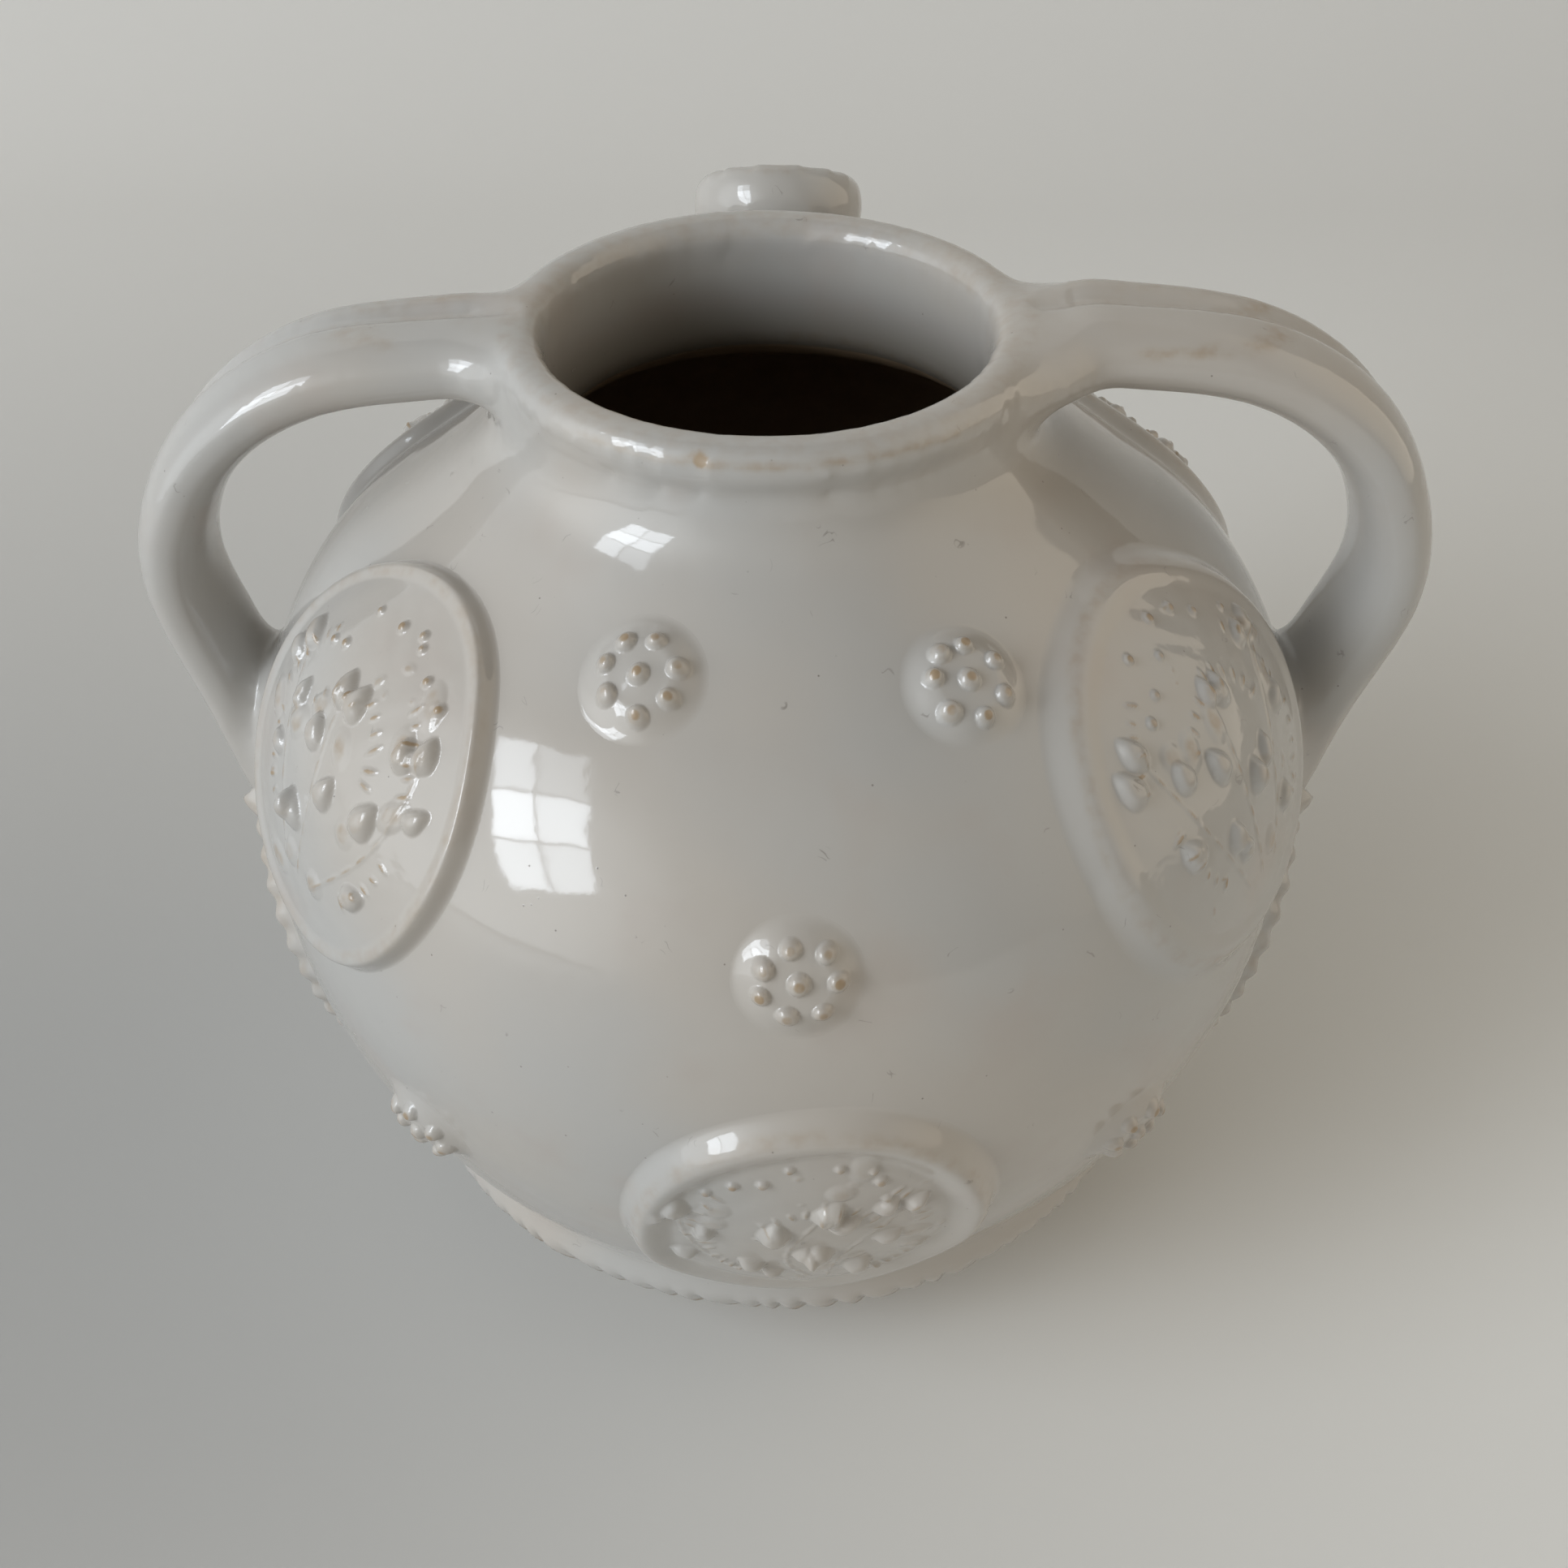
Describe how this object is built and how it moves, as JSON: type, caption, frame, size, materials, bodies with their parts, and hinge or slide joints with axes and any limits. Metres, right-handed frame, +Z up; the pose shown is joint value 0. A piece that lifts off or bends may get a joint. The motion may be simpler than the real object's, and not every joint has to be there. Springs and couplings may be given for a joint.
{
  "type": "faience pitcher",
  "caption": "Two-handled globular glazed earthenware pitcher with a rolled mouth, a short pouring spout on the shoulder, applied oval medallions, bead clusters and a crimped girdle.",
  "frame": {"origin": "on the table, under the middle of the foot", "axes": "+Z up along the axis of the globe and mouth; +X towards the right-hand handle; the front, opposite the spout, faces -Y"},
  "size_m": [0.2382, 0.2071, 0.1963],
  "materials": {
    "glaze": "glossy warm grey-white tin glaze",
    "glaze_over_relief": "glossy tin glaze, thin and brownish on the raised tips",
    "bare_clay": "matt unglazed fired clay"
  },
  "bodies": {
    "root": {"body_globe": "glaze", "mouth_lip": "glaze", "foot": "bare_clay", "spout_tube": "glaze", "spout_lip": "glaze", "handle_left": "glaze", "handle_right": "glaze", "girdle_band": "glaze_over_relief", "medallion_front_left": "glaze_over_relief", "medallion_front_right": "glaze_over_relief", "medallion_back_left": "glaze_over_relief", "medallion_back_right": "glaze_over_relief", "medallion_low_front": "glaze_over_relief", "medallion_low_back": "glaze_over_relief", "medallion_low_left": "glaze_over_relief", "medallion_low_right": "glaze_over_relief", "beads_front_left": "glaze_over_relief", "beads_front_right": "glaze_over_relief", "beads_front_middle": "glaze_over_relief", "beads_low_front_left": "glaze_over_relief", "beads_low_front_right": "glaze_over_relief", "beads_back_left": "glaze_over_relief", "beads_back_right": "glaze_over_relief", "beads_back_middle": "glaze_over_relief", "beads_low_back_left": "glaze_over_relief", "beads_low_back_right": "glaze_over_relief"}
  },
  "joints": []
}
